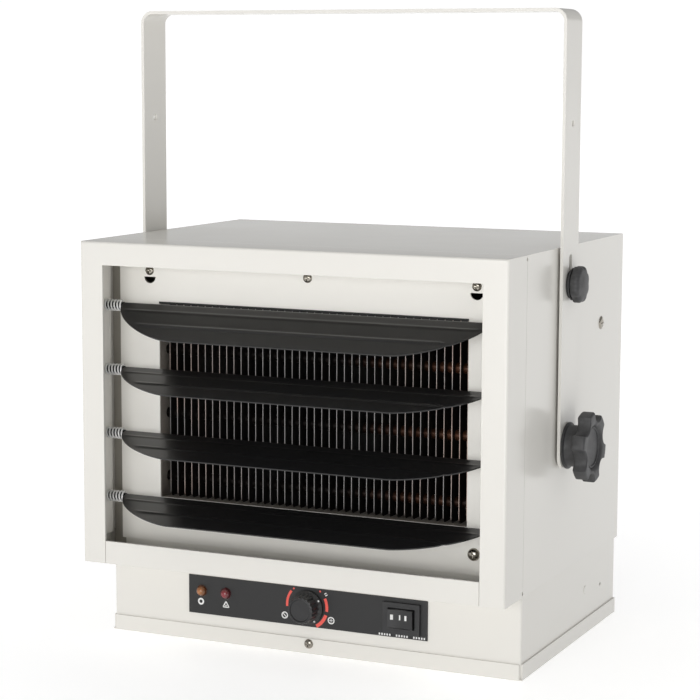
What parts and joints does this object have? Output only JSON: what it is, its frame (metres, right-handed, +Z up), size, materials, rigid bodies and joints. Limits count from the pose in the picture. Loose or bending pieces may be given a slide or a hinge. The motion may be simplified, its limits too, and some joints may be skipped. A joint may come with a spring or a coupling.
{
  "type": "electric_fan_heater",
  "caption": "Electric fan heater for a ceiling, wall or bench: white steel cabinet with black louvres, control box underneath and a tilting U-bracket.",
  "frame": {"origin": "middle of the flat underside of the control box tray", "axes": "+Z is up, the louvred front faces -Y, and +X is to the right as one looks at the front"},
  "size_m": [0.4144, 0.3095, 0.5055],
  "materials": {
    "cabinet_paint": "warm white gloss enamel on folded sheet steel",
    "black_enamel": "black gloss enamel on louvre blades and control plate",
    "zinc_steel": "bright zinc plated steel",
    "inner_steel": "plain galvanised sheet steel",
    "fin_metal": "heat-dulled fins",
    "tube_metal": "heat-browned steel tube",
    "knob_plastic": "dark grey textured thermoplastic",
    "black_plastic": "black moulded plastic",
    "amber_lens": "amber lamp lens",
    "red_lens": "red lamp lens",
    "fan_metal": "plain aluminium",
    "motor_paint": "dark grey paint",
    "ceramic": "off-white glazed insulator",
    "copper": "bare copper tube",
    "black_rubber": "black rubber",
    "lead_black": "black silicone sleeving",
    "lead_green": "green and yellow sleeving"
  },
  "bodies": {
    "cabinet": {"shroud_frame": "cabinet_paint", "shroud_rail": "cabinet_paint", "louvre_rails": "cabinet_paint", "cabinet_wrapper": "cabinet_paint", "front_panel": "cabinet_paint", "rear_panel": "cabinet_paint", "fan_guard": "zinc_steel", "floor_plate": "inner_steel", "control_box": "cabinet_paint", "bottom_tray": "cabinet_paint", "control_plate": "black_enamel", "amber_lens": "amber_lens", "red_lens": "red_lens", "lamp_bodies": "knob_plastic", "switch_housing": "black_plastic", "thermostat_body": "zinc_steel", "capillary": "copper", "element_duct": "inner_steel", "element_fins": "fin_metal", "element_tubes": "tube_metal", "element_terminals": "ceramic", "thermal_cutout": "black_plastic", "fan_baffle": "inner_steel", "motor": "motor_paint", "motor_strap": "inner_steel", "terminal_block": "ceramic", "relay": "black_plastic", "power_leads": "lead_black", "earth_lead": "lead_green", "grommets": "black_rubber", "cable_gland": "black_plastic", "pivot_washers": "black_rubber", "weld_nuts": "zinc_steel", "index_screws": "zinc_steel", "panel_screws": "zinc_steel", "case_screws": "zinc_steel", "louvre_springs": "zinc_steel"},
    "bracket": {"bracket": "cabinet_paint", "lock_washers": "zinc_steel"},
    "star_left": {"star_knob_left": "knob_plastic", "pivot_stud_left": "zinc_steel"},
    "star_right": {"star_knob_right": "knob_plastic", "pivot_stud_right": "zinc_steel"},
    "lock_left": {"lock_knob_left": "knob_plastic", "lock_stud_left": "zinc_steel"},
    "lock_right": {"lock_knob_right": "knob_plastic", "lock_stud_right": "zinc_steel"},
    "fan": {"fan": "fan_metal", "fan_shaft": "zinc_steel"},
    "thermostat": {"thermostat_knob": "knob_plastic", "thermostat_spindle": "zinc_steel"},
    "rocker": {"power_rocker": "black_plastic"},
    "louvre_1": {"louvre_1": "black_enamel", "louvre_rod_1": "zinc_steel"},
    "louvre_2": {"louvre_2": "black_enamel", "louvre_rod_2": "zinc_steel"},
    "louvre_3": {"louvre_3": "black_enamel", "louvre_rod_3": "zinc_steel"},
    "louvre_4": {"louvre_4": "black_enamel", "louvre_rod_4": "zinc_steel"}
  },
  "joints": [
    {"name": "bracket_tilt", "type": "hinge", "parent": "cabinet", "child": "bracket", "pos_m": [0, -0.0136, 0.1688], "axis": [1, 0, 0], "range_deg": [-90, 30]},
    {"name": "star_left_turn", "type": "hinge", "parent": "cabinet", "child": "star_left", "pos_m": [-0.19, -0.0136, 0.1688], "axis": [1, 0, 0], "continuous": true},
    {"name": "star_right_turn", "type": "hinge", "parent": "cabinet", "child": "star_right", "pos_m": [0.19, -0.0136, 0.1688], "axis": [1, 0, 0], "continuous": true},
    {"name": "lock_left_turn", "type": "hinge", "parent": "bracket", "child": "lock_left", "pos_m": [-0.19, -0.0136, 0.2952], "axis": [1, 0, 0], "continuous": true},
    {"name": "lock_right_turn", "type": "hinge", "parent": "bracket", "child": "lock_right", "pos_m": [0.19, -0.0136, 0.2952], "axis": [1, 0, 0], "continuous": true},
    {"name": "fan_spin", "type": "hinge", "parent": "cabinet", "child": "fan", "pos_m": [0, 0.0556, 0.1942], "axis": [0, 1, 0], "continuous": true},
    {"name": "thermostat_turn", "type": "hinge", "parent": "cabinet", "child": "thermostat", "pos_m": [-0.0014, -0.098, 0.0378], "axis": [0, 1, 0], "range_deg": [0, 280]},
    {"name": "rocker_tip", "type": "hinge", "parent": "cabinet", "child": "rocker", "pos_m": [0.0799, -0.092, 0.0378], "axis": [0, 0, 1], "range_deg": [-7, 7]},
    {"name": "louvre_1_turn", "type": "hinge", "parent": "cabinet", "child": "louvre_1", "pos_m": [0, -0.111, 0.2712], "axis": [1, 0, 0], "range_deg": [-48.5, 16.5]},
    {"name": "louvre_2_turn", "type": "hinge", "parent": "cabinet", "child": "louvre_2", "pos_m": [0, -0.111, 0.2194], "axis": [1, 0, 0], "range_deg": [-35.5, 29.5]},
    {"name": "louvre_3_turn", "type": "hinge", "parent": "cabinet", "child": "louvre_3", "pos_m": [0, -0.111, 0.1676], "axis": [1, 0, 0], "range_deg": [-33, 32]},
    {"name": "louvre_4_turn", "type": "hinge", "parent": "cabinet", "child": "louvre_4", "pos_m": [0, -0.111, 0.1158], "axis": [1, 0, 0], "range_deg": [-34, 31]}
  ]
}
